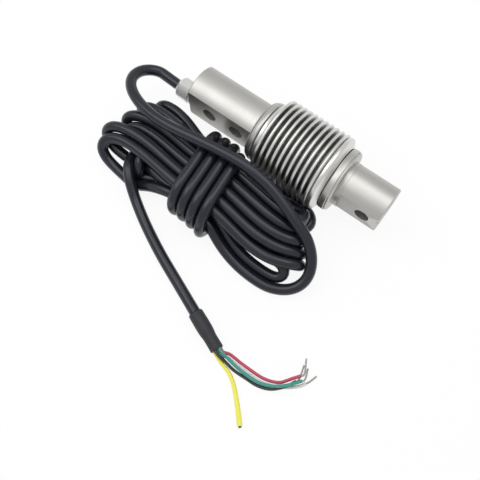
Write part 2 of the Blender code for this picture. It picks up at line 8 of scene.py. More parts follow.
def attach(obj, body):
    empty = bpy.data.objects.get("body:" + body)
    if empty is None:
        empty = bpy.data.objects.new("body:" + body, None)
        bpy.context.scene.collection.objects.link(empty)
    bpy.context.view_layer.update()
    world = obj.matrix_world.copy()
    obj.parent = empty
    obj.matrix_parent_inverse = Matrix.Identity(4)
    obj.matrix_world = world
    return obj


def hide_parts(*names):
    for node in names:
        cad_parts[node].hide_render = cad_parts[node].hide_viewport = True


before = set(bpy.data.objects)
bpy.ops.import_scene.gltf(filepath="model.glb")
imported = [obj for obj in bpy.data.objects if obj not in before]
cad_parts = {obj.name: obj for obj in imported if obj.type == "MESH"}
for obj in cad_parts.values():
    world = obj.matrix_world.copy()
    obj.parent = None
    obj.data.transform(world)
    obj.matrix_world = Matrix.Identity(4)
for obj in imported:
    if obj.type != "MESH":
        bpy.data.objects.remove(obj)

scene = bpy.context.scene
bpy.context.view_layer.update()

# The camera looks down on the cell from its front right, as the photograph does. Its place
# and tilt come from fitting the bar's holes, ends and bellows, and the lens from their
# perspective.
CAMERA_PLACE = Vector((0.0745, -0.1365, 0.3038))
CAMERA_LOOK = Vector((-0.1971, 0.2654, -0.9438))
CAMERA_LENS = 45.0
camera_data = bpy.data.cameras.new("camera")
camera_data.lens = CAMERA_LENS
camera_data.clip_start = 0.01
camera = bpy.data.objects.new("camera", camera_data)
camera.location = CAMERA_PLACE
camera.rotation_euler = CAMERA_LOOK.to_track_quat("-Z", "Y").to_euler()
scene.collection.objects.link(camera)
scene.camera = camera
scene.view_settings.view_transform = "Standard"


# The cable is one limp 6 mm lead, from the gland back over the top of the hank, through
# eight long turns, four times around their waist and out to its sleeve. The folds are
# listed, and a loop lays the turns out and then presses their strands apart.
CABLE_DIAMETER = 0.0060
CABLE_STEP = 0.0030
LEAD_ROUTE = [
    (-0.0525, -0.0030, 0.0174), (-0.0600, -0.0030, 0.0174), (-0.0672, -0.0030, 0.0174),
    (-0.0730, -0.0029, 0.0178), (-0.0812, -0.0036, 0.0192), (-0.0872, -0.0085, 0.0218),
    (-0.0884, -0.0165, 0.0246), (-0.0838, -0.0233, 0.0270), (-0.0745, -0.0284, 0.0288),
    (-0.0660, -0.0311, 0.0297), (-0.0555, -0.0322, 0.0307), (-0.0400, -0.0306, 0.0316),
    (-0.0290, -0.0288, 0.0318), (-0.0035, -0.0262, 0.0318), (0.0080, -0.0268, 0.0302),
    (0.0190, -0.0285, 0.0274), (0.0280, -0.0320, 0.0250), (0.0365, -0.0346, 0.0215),
    (0.0445, -0.0374, 0.0175), (0.0505, -0.0422, 0.0130), (0.0537, -0.0492, 0.0090),
    (0.0525, -0.0564, 0.0060), (0.0464, -0.0615, 0.0042), (0.0345, -0.0640, 0.0032),
    (0.0210, -0.0637, 0.0032), (0.0085, -0.0617, 0.0042), (0.0010, -0.0598, 0.0074),
]
WAIST_LEFT, WAIST_RIGHT = -0.0315, -0.0070
PACKING = 0.00606
# Places in the waist as (row, column), and the folds of the turns, left and right by
# turns: from place, to place, end of the fold, and Y and Z of its two legs
ROW_HEIGHT = {"low": 0.0091, "middle": 0.0143, "high": 0.0195}
ROW_START = {"low": -0.0270, "middle": -0.0240, "high": -0.0270}
FOLDS = [
    (("middle", 5), ("high", 4), (-0.0815, -0.0550, 0.0105), (-0.0588, 0.0034), (-0.0468, 0.0180)),
    (("high", 4), ("low", 3), (0.0455, -0.0405, 0.0100), (-0.0545, 0.0135), (-0.0460, 0.0032)),
    (("low", 3), ("middle", 4), (-0.0610, -0.0500, 0.0080), (-0.0545, 0.0034), (-0.0465, 0.0120)),
    (("middle", 4), ("low", 4), (0.0438, -0.0540, 0.0064), (-0.0518, 0.0085), (-0.0594, 0.0034)),
    (("low", 4), ("high", 3), (-0.0845, -0.0490, 0.0120), (-0.0508, 0.0058), (-0.0425, 0.0194)),
    (("high", 3), ("middle", 3), (0.0430, -0.0370, 0.0105), (-0.0485, 0.0165), (-0.0410, 0.0032)),
    (("middle", 3), ("high", 2), (-0.0760, -0.0405, 0.0095), (-0.0425, 0.0032), (-0.0348, 0.0184)),
    (("high", 2), ("low", 2), (0.0410, -0.0345, 0.0110), (-0.0425, 0.0180), (-0.0360, 0.0032)),
    (("low", 2), ("high", 1), (-0.0800, -0.0384, 0.0125), (-0.0385, 0.0068), (-0.0306, 0.0192)),
    (("high", 1), ("low", 1), (0.0385, -0.0320, 0.0110), (-0.0368, 0.0186), (-0.0310, 0.0032)),
    (("low", 1), ("middle", 2), (-0.0710, -0.0290, 0.0080), (-0.0310, 0.0032), (-0.0250, 0.0125)),
    (("middle", 2), ("middle", 1), (0.0360, -0.0270, 0.0065), (-0.0325, 0.0120), (-0.0255, 0.0032)),
    (("middle", 1), ("high", 0), (-0.0782, -0.0266, 0.0115), (-0.0276, 0.0042), (-0.0226, 0.0182)),
    (("high", 0), ("low", 0), (0.0360, -0.0300, 0.0125), (-0.0310, 0.0190), (-0.0245, 0.0082)),
    (("low", 0), ("middle", 0), (-0.0730, -0.0180, 0.0085), (-0.0190, 0.0032), (-0.0150, 0.0130)),
]
LAST_FOLD = [
    (0.0020, -0.0245, 0.0085), (0.0120, -0.0210, 0.0055), (0.0250, -0.0196, 0.0055),
    (0.0352, -0.0220, 0.0065), (0.0390, -0.0258, 0.0080), (0.0350, -0.0294, 0.0080),
    (0.0240, -0.0284, 0.0056), (0.0120, -0.0258, 0.0038), (0.0040, -0.0255, 0.0030),
    (-0.0020, -0.0275, 0.0029),
]
WRAPS = 4
WRAP_CENTRE = (-0.0387, 0.0143)
WRAP_REACH = (0.0229, 0.0113)
WRAP_SQUARENESS = 5.0
WRAP_START, WRAP_END = -0.0062, -0.0306
WRAP_LEAN = 0.0015
WRAP_POINTS = 20
TAIL_ROUTE = [
    (-0.0390, -0.0400, 0.0030), (-0.0470, -0.0384, 0.0032), (-0.0555, -0.0385, 0.0040),
    (-0.0610, -0.0413, 0.0054), (-0.0632, -0.0464, 0.0076), (-0.0624, -0.0520, 0.0096),
    (-0.0598, -0.0567, 0.0107), (-0.0562, -0.0607, 0.0098), (-0.0518, -0.0642, 0.0075),
    (-0.0462, -0.0680, 0.0050), (-0.0350, -0.0745, 0.0032), (-0.0180, -0.0828, 0.0030),
    (-0.0030, -0.0890, 0.0030), (0.0078, -0.0934, 0.0033), (0.0170, -0.0972, 0.0042),
]
# Round bodies that the cable lies against: along X from, to, and radius
AXIS_HEIGHT = 0.0216
BODIES = [(-0.0078, 0.0347, 0.0216), (0.0347, 0.0401, 0.0175), (-0.0127, -0.0081, 0.0170),
          (-0.0537, -0.0127, 0.0140)]
BODY_MARGIN = 0.002
# Pressing apart: rounds, how often and how far neighbours are looked for, the gaps that
# are kept, how many points stay put at either end, and the share of each correction
ROUNDS, SEARCH_EVERY, SEARCH_REACH = 260, 6, 1.6 * CABLE_DIAMETER
STRAND_GAP, BODY_GAP = 0.00005, 0.00015
HELD_FIRST, HELD_LAST = 10, 32
BEND_SHARE, KINK_SHARE, PUSH_SHARE, STRETCH_SHARE = 0.10, 0.35, 0.6, 0.25
HOMING, HOMING_LEFT = 0.06, 0.004


def smooth_line(points, steps):
    """Points along a centripetal Catmull-Rom curve through the given ones."""
    given = np.array(points, float)
    given = np.vstack([2 * given[0] - given[1], given, 2 * given[-1] - given[-2]])
    line = []
    for i in range(1, len(given) - 2):
        a, b, c, d = given[i - 1:i + 3]
        ta = math.sqrt(np.linalg.norm(b - a))
        tb = ta + math.sqrt(np.linalg.norm(c - b))
        tc = tb + math.sqrt(np.linalg.norm(d - c))
        for k in range(steps):
            t = ta + (tb - ta) * k / steps
            first = ((ta - t) * a + t * b) / ta
            second = ((tb - t) * b + (t - ta) * c) / (tb - ta)
            third = ((tc - t) * c + (t - tb) * d) / (tc - tb)
            left = ((tb - t) * first + t * second) / tb
            right = ((tc - t) * second + (t - ta) * third) / (tc - ta)
            line.append(((tb - t) * left + (t - ta) * right) / (tb - ta))
    line.append(given[-2])
    return np.array(line)


def even_line(line, step):
    """The same line with points one step apart."""
    along = np.concatenate([[0.0], np.cumsum(np.linalg.norm(np.diff(line, axis=0), axis=1))])
    places = np.linspace(0.0, along[-1], round(along[-1] / step) + 1)
    return np.stack([np.interp(places, along, line[:, axis]) for axis in range(3)], axis=1)


def waist_place(row, column):
    return np.array((ROW_START[row] - PACKING * column, ROW_HEIGHT[row]))


def fold_points(side, start, finish, end, near_leg, far_leg):
    """Out of the waist along one leg, around the fold and back along the other."""
    waist = WAIST_LEFT if side < 0 else WAIST_RIGHT
    end = np.array(end)

    def leg(place, across):
        place, across = waist_place(*place), np.array(across)
        # X of each station, and its shares of waist, leg and fold's end
        stations = [(waist, 1.0, 0.0, 0.0), (waist + side * 0.011, 0.55, 0.45, 0.0),
                    (waist + side * 0.024, 0.0, 1.0, 0.0),
                    (end[0] - side * 0.009, 0.0, 0.9, 0.1),
                    (end[0] - side * 0.0025, 0.0, 0.6, 0.4)]
        return [(x, *(p * place + q * across + r * end[1:])) for x, p, q, r in stations]

    return leg(start, near_leg) + [tuple(end)] + leg(finish, far_leg)[::-1]


def wrap_points():
    """Flattened rings around the waist, starting below it and going up its front."""
    points = []
    count = WRAPS * WRAP_POINTS
    for i in range(1, count + 1):
        turn = -math.pi / 2 - math.tau * i / WRAP_POINTS
        y, z = math.cos(turn), math.sin(turn)
        reach = (abs(y) ** WRAP_SQUARENESS + abs(z) ** WRAP_SQUARENESS) ** (-1 / WRAP_SQUARENESS)
        x = WRAP_START + (WRAP_END - WRAP_START) * i / count - WRAP_LEAN * reach * y
        points.append((x, WRAP_CENTRE[0] + WRAP_REACH[0] * reach * y,
                       WRAP_CENTRE[1] + WRAP_REACH[1] * reach * z))
    return points


def pressed_apart(line):
    """The line after its strands have pushed each other and their neighbours away."""
    start, line = line.copy(), line.copy()
    count = len(line)
    free = np.ones((count, 1))
    free[:HELD_FIRST] = free[-HELD_LAST:] = 0.0
    step = np.linalg.norm(np.diff(line, axis=0), axis=1).mean()
    for turn in range(ROUNDS):
        if turn % SEARCH_EVERY == 0:
            apart = np.linalg.norm(line[:, None] - line[None], axis=2)
            one, other = np.where(np.triu(apart < SEARCH_REACH, 4))
        bend = np.zeros_like(line)
        bend[1:-1] = 0.5 * (line[:-2] + line[2:]) - line[1:-1]
        kink = np.zeros_like(line)
        kink[2:-2] = bend[2:-2] - 0.5 * (bend[1:-3] + bend[3:-1])
        line += free * (BEND_SHARE * bend + KINK_SHARE * kink)
        line += free * (HOMING * (1 - turn / ROUNDS) + HOMING_LEFT) * (start - line)
        for _ in range(2):
            way = line[one] - line[other]
            far = np.linalg.norm(way, axis=1) + 1e-9
            push = np.clip(CABLE_DIAMETER + STRAND_GAP - far, 0.0, None) * 0.5
            move = way / far[:, None] * push[:, None] * PUSH_SHARE
            total, touches = np.zeros_like(line), np.zeros(count)
            np.add.at(total, one, move)
            np.add.at(total, other, -move)
            np.add.at(touches, one, push > 0)
            np.add.at(touches, other, push > 0)
            line += free * total / np.maximum(1.0, 0.5 * touches)[:, None]
            line[:, 2] = np.maximum(line[:, 2], CABLE_DIAMETER / 2)
            for low, high, radius in BODIES:
                near = (line[:, 0] > low - BODY_MARGIN) & (line[:, 0] < high + BODY_MARGIN)
                near &= free[:, 0] > 0
                way = line[near][:, 1:] - (0.0, AXIS_HEIGHT)
                far = np.linalg.norm(way, axis=1)
                out = np.maximum(1.0, (radius + CABLE_DIAMETER / 2 + BODY_GAP) / far)
                line[near, 1:] = way * out[:, None] + (0.0, AXIS_HEIGHT)
            piece = np.diff(line, axis=0)
            long = np.linalg.norm(piece, axis=1)
            move = piece * ((long - step) / long * STRETCH_SHARE)[:, None]
            pull = np.zeros_like(line)
            pull[:-1] += move
            pull[1:] -= move
            line += free * pull
    return line


def cable_line():
    points = list(LEAD_ROUTE)
    for number, fold in enumerate(FOLDS):
        points += fold_points(1 if number % 2 else -1, *fold)
    points += [(WAIST_RIGHT, *waist_place("middle", 0))] + LAST_FOLD
    points += wrap_points() + TAIL_ROUTE
    return pressed_apart(even_line(smooth_line(points, 8), CABLE_STEP))


def strands(name, lines, radius, sides, widths=None):
    """One piece of round strands, each along its line and closed at both ends."""
    curve = bpy.data.curves.new(name, "CURVE")
    curve.dimensions = "3D"
    curve.bevel_depth = 1.0
    curve.bevel_resolution = sides
    curve.use_fill_caps = True
    for line in lines:
        spline = curve.splines.new("POLY")
        spline.points.add(len(line) - 1)
        for i, place in enumerate(line):
            spline.points[i].co = (*place, 1.0)
            spline.points[i].radius = radius * (1.0 if widths is None else widths[i])
    piece = bpy.data.objects.new(name, curve)
    scene.collection.objects.link(piece)
    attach(piece, "root")
    return piece


cable_route = cable_line()
cable = strands("cable", [smooth_line(cable_route, 2)], CABLE_DIAMETER / 2, 6)
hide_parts("cable_lead", "cable_hank", "cable_tail")


class Value:
    """A node's output. Arithmetic on it adds the Math nodes that it needs."""

    def __init__(self, finish, socket):
        self.finish = finish
        self.socket = socket

    def math(self, operation, one, other):
        return self.finish.node("Math", {"operation": operation}, {0: one, 1: other})

    def __add__(self, other):
        return self.math("ADD", self, other)

    __radd__ = __add__

    def __sub__(self, other):
        return self.math("SUBTRACT", self, other)

    def __rsub__(self, other):
        return self.math("SUBTRACT", other, self)

    def __mul__(self, other):
        return self.math("MULTIPLY", self, other)

    __rmul__ = __mul__


class Finish:
    """A material made of nodes on a Principled shader."""

    def __init__(self, name, colour, metallic=0.0, roughness=0.5):
        self.material = bpy.data.materials.new(name)
        self.material.use_nodes = True
        self.material.diffuse_color = (*colour, 1.0)
        self.tree = self.material.node_tree
        self.shader = self.tree.nodes["Principled BSDF"]
        self.feed("Base Color", (*colour, 1.0))
        self.feed("Metallic", metallic)
        self.feed("Roughness", roughness)

    def feed(self, socket, value):
        """Set a socket of the shader, or link a value to it."""
        if isinstance(value, Value):
            self.tree.links.new(value.socket, self.shader.inputs[socket])
        else:
            self.shader.inputs[socket].default_value = value

    def node(self, kind, settings, sockets, output=0):
        """Add a node, first its settings and then its sockets' values and links."""
        node = self.tree.nodes.new("ShaderNode" + kind)
        for name, value in settings.items():
            setattr(node, name, value)
        for name, value in sockets.items():
            if isinstance(value, Value):
                self.tree.links.new(value.socket, node.inputs[name])
            else:
                node.inputs[name].default_value = value
        return Value(self, node.outputs[output])

    def place(self, stretch=(1.0, 1.0, 1.0)):
        """Where a point is on the piece, stretched along the axes."""
        here = self.node("TexCoord", {}, {}, "Object")
        return self.node("Mapping", {}, {"Vector": here, "Scale": stretch})

    def noise(self, scale, detail=2.0, stretch=(1.0, 1.0, 1.0)):
        sockets = {"Vector": self.place(stretch), "Scale": scale, "Detail": detail}
        return self.node("TexNoise", {}, sockets, "Fac")

    def steps(self, value, stops):
        """The value passed through a grey ramp: its two end stops, then any between."""
        ramp = self.node("ValToRGB", {}, {"Fac": value}, "Color")
        elements = ramp.socket.node.color_ramp.elements
        for number, (position, shade) in enumerate(stops):
            stop = elements[number] if number < 2 else elements.new(position)
            stop.position = position
            stop.color = (shade, shade, shade, 1.0)
        return ramp

    def tint(self, mask, plain, marked):
        """Two colours mixed by a mask."""
        sockets = {0: mask, 6: (*plain, 1.0), 7: (*marked, 1.0)}
        return self.node("Mix", {"data_type": "RGBA"}, sockets, 2)

    def relief(self, height, strength, depth):
        """A bump that feeds the shader's normal."""
        sockets = {"Height": height, "Strength": strength, "Distance": depth}
        self.feed("Normal", self.node("Bump", {}, sockets, "Normal"))

    def onto(self, *pieces):
        for piece in pieces:
            piece = bpy.data.objects[piece] if isinstance(piece, str) else piece
            piece.data.materials.clear()
            piece.data.materials.append(self.material)


# Smooth black plastic with a bluish cast, slightly uneven from its winding, with a
# little dust that takes the shine off in places.
def cable_finish(name, colour, dusty, shine):
    finish = Finish(name, colour, 0.0, shine)
    cloud = finish.noise(90.0, 3.0)
    dust = finish.steps(finish.noise(2600.0, 2.0), [(0.60, 0.0), (0.78, 1.0)])
    finish.feed("Base Color", finish.tint(cloud * 0.35 + dust * 0.5, colour, dusty))
    finish.feed("Roughness", cloud * 0.16 + dust * 0.2 + (shine - 0.08))
    finish.feed("Specular IOR Level", 0.55)
    finish.feed("Specular Tint", (0.86, 0.90, 1.0, 1.0))
    finish.relief(finish.noise(420.0, 2.0) + finish.noise(3000.0, 1.0) * 0.25, 0.30, 0.00010)
    return finish


cable_finish("cable_black", (0.0095, 0.0100, 0.0135), (0.021, 0.022, 0.030), 0.25).onto(cable)


# The bar is one piece of stainless steel: a round fixed end with two bolt holes through
# its milled flats, a slim bending beam with a window, and a round load end with one
# hole. It is turned, milled and drilled, and its edges are broken.
BAR_FACE, BAR_END = -0.0537, 0.0663
FACE_BREAK, END_BREAK = 0.0009, 0.0006
FIXED_RADIUS, LOAD_RADIUS, NECK_RADIUS = 0.0140, 0.0125, 0.0115
SEAT_FROM, SEAT_TO = -0.0078, 0.0344
RELIEF_FROM, RELIEF_TO, RELIEF_DEPTH = 0.0425, 0.0429, 0.0003
FLAT_DEPTH = 0.0100
FIXED_FLAT_TO, LOAD_FLAT_FROM = -0.0130, 0.0431
BOLT_HOLES = (-0.0400, -0.0227, 0.0569)
HOLE_RADIUS = 0.0041
BEAM_FROM, BEAM_TO = -0.0047, 0.0313
BEAM_SIDE, BEAM_FACE, BEAM_STEP = 0.0050, 0.0090, 0.002
WINDOW_PLACES, WINDOW_RADIUS, WINDOW_SLOT = (0.0063, 0.0203), 0.0064, 0.0030
WINDOW_HEIGHT = 0.014
GLAND_Y, GLAND_Z = -0.0030, 0.0174
SOCKET_RADIUS, SOCKET_DEPTH = 0.0040, 0.0085
NOTCH = ((0.0654, -0.0120, 0.0242), (0.0700, -0.0094, 0.0254))
TURNED_SIDES = 144
EDGE_ANGLE = math.radians(32)
# How far a cutter reaches past an end, and to the sides
OVERSHOOT, WIDE = 0.002, 0.03
UPRIGHT, ACROSS, ALONG = (0.0, 0.0, 0.0), (math.pi / 2, 0.0, 0.0), (0.0, math.pi / 2, 0.0)


def alone(piece=None):
    """Leave only this piece selected and active."""
    bpy.ops.object.select_all(action="DESELECT")
    if piece:
        piece.select_set(True)
        bpy.context.view_layer.objects.active = piece


def settle(piece, name):
    """Name a new piece, put its place into its mesh and let it ride on the cell."""
    alone(piece)
    piece.name = name
    bpy.ops.object.transform_apply(location=True, rotation=True, scale=True)
    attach(piece, "root")
    return piece


def turned(name, outline, sides=TURNED_SIDES, centre=(0.0, AXIS_HEIGHT), solid=True):
    """A circle extruded along X from station to station, each with its own radius."""
    alone()
    bpy.ops.mesh.primitive_circle_add(
        vertices=sides, radius=outline[0][1], fill_type="NOTHING",
        location=(outline[0][0], *centre), rotation=ALONG)
    piece = bpy.context.object
    bpy.ops.object.transform_apply(location=True, rotation=True, scale=True)
    bpy.ops.object.mode_set(mode="EDIT")
    bpy.ops.mesh.select_all(action="SELECT")
    if solid:
        bpy.ops.mesh.edge_face_add()
    for (x, radius), (next_x, next_radius) in zip(outline, outline[1:]):
        bpy.ops.mesh.extrude_region_move(TRANSFORM_OT_translate={"value": (next_x - x, 0.0, 0.0)})
        wider = next_radius / radius
        bpy.ops.transform.resize(value=(1.0, wider, wider), center_override=(next_x, *centre))
    bpy.ops.mesh.select_all(action="SELECT")
    bpy.ops.mesh.normals_make_consistent(inside=False)
    bpy.ops.object.mode_set(mode="OBJECT")
    return settle(piece, name)


def finished(piece, milled=False):
    """Apply the modifiers and leave the piece smooth between its edges."""
    alone(piece)
    for modifier in list(piece.modifiers):
        bpy.ops.object.modifier_apply(modifier=modifier.name)
    bpy.ops.object.shade_smooth_by_angle(angle=EDGE_ANGLE)
    if milled:
        level = piece.modifiers.new("level", "WEIGHTED_NORMAL")
        level.keep_sharp = True
        level.weight = 100
        bpy.ops.object.modifier_apply(modifier=level.name)
    return piece


def cut(piece, cutter, operation="DIFFERENCE"):
    """Cut the piece with a cutter, and remove the cutter."""
    modifier = piece.modifiers.new("cut", "BOOLEAN")
    modifier.operation = operation
    modifier.solver = "EXACT"
    modifier.object = cutter
    alone(piece)
    bpy.ops.object.modifier_apply(modifier=modifier.name)
    bpy.data.objects.remove(cutter, do_unlink=True)


def block(low, high):
    """A box-shaped cutter between two corners."""
    alone()
    low, high = Vector(low), Vector(high)
    bpy.ops.mesh.primitive_cube_add(size=1.0, location=(low + high) / 2, scale=high - low)
    return bpy.context.object


def drill(place, radius, length, rotation, sides=64):
    """A round cutter."""
    alone()
    bpy.ops.mesh.primitive_cylinder_add(
        vertices=sides, radius=radius, depth=length, location=place, rotation=rotation)
    return bpy.context.object


def break_edges(piece, width):
    """Round the sharp edges a little."""
    edges = piece.modifiers.new("edges", "BEVEL")
    edges.width = width
    edges.segments = 2
    edges.limit_method = "ANGLE"
    edges.angle_limit = EDGE_ANGLE


bar = turned("bar", [
    (BAR_FACE, FIXED_RADIUS - FACE_BREAK), (BAR_FACE + 0.0003, FIXED_RADIUS - 0.00035),
    (BAR_FACE + FACE_BREAK, FIXED_RADIUS), (SEAT_FROM, FIXED_RADIUS), (SEAT_FROM, NECK_RADIUS),
    (SEAT_TO, NECK_RADIUS), (SEAT_TO, LOAD_RADIUS), (RELIEF_FROM, LOAD_RADIUS),
    (RELIEF_FROM, LOAD_RADIUS - RELIEF_DEPTH), (RELIEF_TO, LOAD_RADIUS - RELIEF_DEPTH),
    (RELIEF_TO, LOAD_RADIUS), (BAR_END - END_BREAK, LOAD_RADIUS),
    (BAR_END, LOAD_RADIUS - END_BREAK),
])
for side in (-1, 1):
    for x_from, x_to, depth in (
            (BAR_FACE - OVERSHOOT, FIXED_FLAT_TO, FLAT_DEPTH),
            (LOAD_FLAT_FROM, BAR_END + OVERSHOOT, FLAT_DEPTH),
            (BEAM_FROM + BEAM_STEP, BEAM_TO - BEAM_STEP, BEAM_FACE)):
        low, high = sorted((side * depth, side * WIDE))
        cut(bar, block((x_from, low, AXIS_HEIGHT - WIDE), (x_to, high, AXIS_HEIGHT + WIDE)))
    low, high = sorted((side * BEAM_SIDE, side * WIDE))
    cut(bar, block((BEAM_FROM, -WIDE, AXIS_HEIGHT + low), (BEAM_TO, WIDE, AXIS_HEIGHT + high)))
for x in BOLT_HOLES:
    cut(bar, drill((x, 0.0, AXIS_HEIGHT), HOLE_RADIUS, 2 * WIDE, ACROSS))
for x in WINDOW_PLACES:
    cut(bar, drill((x, 0.0, AXIS_HEIGHT), WINDOW_RADIUS, WINDOW_HEIGHT, UPRIGHT))
cut(bar, block((WINDOW_PLACES[0], -WINDOW_SLOT, AXIS_HEIGHT - WINDOW_HEIGHT / 2),
               (WINDOW_PLACES[1], WINDOW_SLOT, AXIS_HEIGHT + WINDOW_HEIGHT / 2)))
socket_middle = (BAR_FACE + (SOCKET_DEPTH - OVERSHOOT) / 2, GLAND_Y, GLAND_Z)
cut(bar, drill(socket_middle, SOCKET_RADIUS, SOCKET_DEPTH + OVERSHOOT, ALONG))
cut(bar, block(*NOTCH))
break_edges(bar, 0.0003)
finished(bar, milled=True)
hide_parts("measuring_body")


# Satin steel: fine marks run round the turned faces and up and down the milled ones, and
# the finish is a little uneven all over. The walls of the bolt holes are duller, as the
# drill left them, and their darker colour is painted shade inside the holes.
HOLE_MARGIN = 0.0001


def steel_finish(name, colour, darker, shine, marks):
    finish = Finish(name, colour, 1.0, shine)
    cloud = finish.noise(70.0, 3.0)
    turning = finish.noise(1.0, 2.0, (5200.0, 160.0, 160.0))
    grain = finish.noise(5200.0, 2.0)
    finish.feed("Base Color", finish.tint(cloud * 0.5 + turning * marks * 0.5, colour, darker))
    finish.feed("Roughness", cloud * 0.10 + grain * 0.10 + turning * marks * 0.12 + (shine - 0.14))
    finish.relief(turning * marks + grain * 0.4, 0.22, 0.00003)
    return finish


satin = steel_finish("satin_steel", (0.62, 0.61, 0.585), (0.50, 0.49, 0.470), 0.42, 0.8)
satin.onto(bar)
# Painted shade: the hole walls get a darker colour than the bar's own steel; the lower metallic
# value makes them duller.
drilled_and_shaded = steel_finish("drilled_shaded_steel", (0.48, 0.47, 0.45), (0.30, 0.295, 0.285), 0.44, 0.3)
drilled_and_shaded.feed("Metallic", 0.8)
bar.data.materials.append(drilled_and_shaded.material)
for face in bar.data.polygons:
    reaches = [math.hypot(face.center.x - x, face.center.z - AXIS_HEIGHT) for x in BOLT_HOLES]
    if min(reaches) < HOLE_RADIUS + HOLE_MARGIN:
        face.material_index = 1


# The bellows is rolled from thin stainless sheet into eleven deep convolutions, with a
# plain neck at the fixed end and a smooth bulged cuff at the load end, welded to the
# two collars.
CREST_RADIUS, ROOT_RADIUS = 0.0216, 0.0167
FIRST_CREST, PITCH, CONVOLUTIONS = -0.0042, 0.0033, 11
LAST_CREST = FIRST_CREST + (CONVOLUTIONS - 1) * PITCH
CREST_BEND, ROOT_BEND = 0.00082, 0.00070
BEND_POINTS = 6
SHEET = 0.0003
NECK, CUFF = 0.0172, 0.0212
BELLOWS_FROM, BELLOWS_TO = -0.0078, 0.0347
# Both ends of the cuff: how far along from the last crest, or back from the end of the
# bellows, and how far below the cuff's radius
CUFF_START = [(0.00098, 0.0016), (0.00112, 0.0018), (0.00126, 0.0009), (0.0017, 0.0002),
              (0.0023, 0.0)]
CUFF_END = [(0.0026, 0.0), (0.0021, 0.0003), (0.0016, 0.0010), (0.0009, 0.0024),
            (0.0004, 0.0033)]


def half_round(middle, radius, bend, side):
    """The round of one fold, of a crest with side 1 and of a root with side -1."""
    turns = [math.pi * i / BEND_POINTS for i in range(BEND_POINTS + 1)]
    return [(middle - bend * math.cos(turn), radius - side * bend * (1 - math.sin(turn)))
            for turn in turns]


def bellows_outline():
    points = [(BELLOWS_FROM, NECK), (FIRST_CREST - 0.0022, NECK + 0.0001),
              (FIRST_CREST - 0.0016, NECK + 0.0004)]
    for k in range(CONVOLUTIONS):
        crest = FIRST_CREST + k * PITCH
        points += half_round(crest, CREST_RADIUS, CREST_BEND, 1)
        if k < CONVOLUTIONS - 1:
            points += half_round(crest + PITCH / 2, ROOT_RADIUS, ROOT_BEND, -1)
    points += [(LAST_CREST + along, CUFF - below) for along, below in CUFF_START]
    points += [(BELLOWS_TO - back, CUFF - below) for back, below in CUFF_END]
    return points + [(BELLOWS_TO, NECK)]


bellows = turned("bellows_skin", bellows_outline(), solid=False)
sheet = bellows.modifiers.new("sheet", "SOLIDIFY")
sheet.thickness = SHEET
sheet.offset = -1.0
finished(bellows)
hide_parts("bellows")


# Bright rolled sheet, whose colour is painted darker down in the grooves as painted shade. The
# plain neck and cuff are left out, and the painted shade ends within a millimetre of them.
SHADE_EDGE = 1500.0
SHADE_END_STOPS = [(0.0, 0.0), (1.0, 1.0)]


def rolled_finish(name, bare, groove_shade, shine):
    finish = Finish(name, bare, 1.0, shine)
    here = finish.node("TexCoord", {}, {}, "Object")
    across = finish.node("Mapping", {}, {
        "Vector": here, "Location": (0.0, 0.0, -AXIS_HEIGHT), "Scale": (0.0, 1.0, 1.0)})
    reach = finish.node("VectorMath", {"operation": "LENGTH"}, {0: across}, "Value")
    depth = (reach - ROOT_RADIUS) * (1 / (CREST_RADIUS - ROOT_RADIUS))
    # Painted shade: the colour darkens towards the roots of the folds and is full on the crests.
    unshaded = finish.steps(depth, [(0.20, 0.0), (0.85, 1.0), (0.55, 0.40)])
    along = finish.node("SeparateXYZ", {}, {"Vector": here}, "X")
    cuff = finish.steps((along - (LAST_CREST + CREST_BEND)) * SHADE_EDGE, SHADE_END_STOPS)
    neck = finish.steps((FIRST_CREST - 2 * CREST_BEND - along) * SHADE_EDGE, SHADE_END_STOPS)
    finish.feed("Base Color", finish.tint(unshaded + cuff + neck, groove_shade, bare))
    finish.feed("Roughness", finish.noise(5200.0, 2.0) * 0.10 + (shine - 0.05))
    return finish


rolled_finish("bright_steel", (0.76, 0.755, 0.74), (0.30, 0.30, 0.295), 0.38).onto(bellows)


# Two turned stainless rings carry the bellows, a rounded bead at the fixed end and a plain
# ring at the load end. A fine groove in each shows where it is welded on.
fixed_collar = turned("fixed_ring", [
    (-0.0127, 0.0152), (-0.0123, 0.0158), (-0.0119, 0.0161), (-0.01175, 0.0157),
    (-0.0116, 0.01625), (-0.0113, 0.0164), (-0.0105, 0.01675), (-0.0098, 0.0170),
    (-0.0090, 0.0170), (-0.00855, 0.01675), (-0.00825, 0.0163), (-0.0081, 0.0158),
])
finished(fixed_collar)
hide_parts("fixed_end_collar")
load_collar = turned("load_ring", [
    (0.0350, 0.0168), (0.0352, 0.0172), (0.0357, 0.0175), (0.0383, 0.0175), (0.0386, 0.0173),
    (0.03865, 0.0168), (0.03885, 0.0168), (0.0389, 0.0171), (0.0393, 0.0171), (0.0397, 0.0168),
    (0.0400, 0.0163), (0.0401, 0.0158),
])
finished(load_collar)
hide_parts("load_end_collar")
satin.onto(fixed_collar, load_collar)


# The gland is nickel-plated brass: a body screwed into the bar's end over a rubber ring,
# and a six-sided dome nut that squeezes a rubber seal onto the cable.
NUT_FROM, NUT_TO = -0.0663, -0.0577
HEX_TURN = math.radians(105.7)
NUT_CORNER, NUT_ROUND, HEX_CORNER = 0.00635, 0.0066, 0.0061
HEX_FROM, HEX_TO = -0.0571, -0.0554
SPIGOT_RADIUS = 0.0042
THREAD_FROM, THREAD_TO = -0.0612, -0.0574
THREAD_PITCH, THREAD_DEPTH = 0.0005, 0.00025
CABLE_BORE = CABLE_DIAMETER / 2 + 0.0002
GLAND_BORE_MIDDLE, GLAND_BORE_LENGTH = -0.0569, 0.0084
NUT_BORE_LENGTH = 0.02
NUT_SOCKET_RADIUS, NUT_SOCKET_DEPTH = SPIGOT_RADIUS + 0.0003, 0.0065
GLAND_SIDES = 96


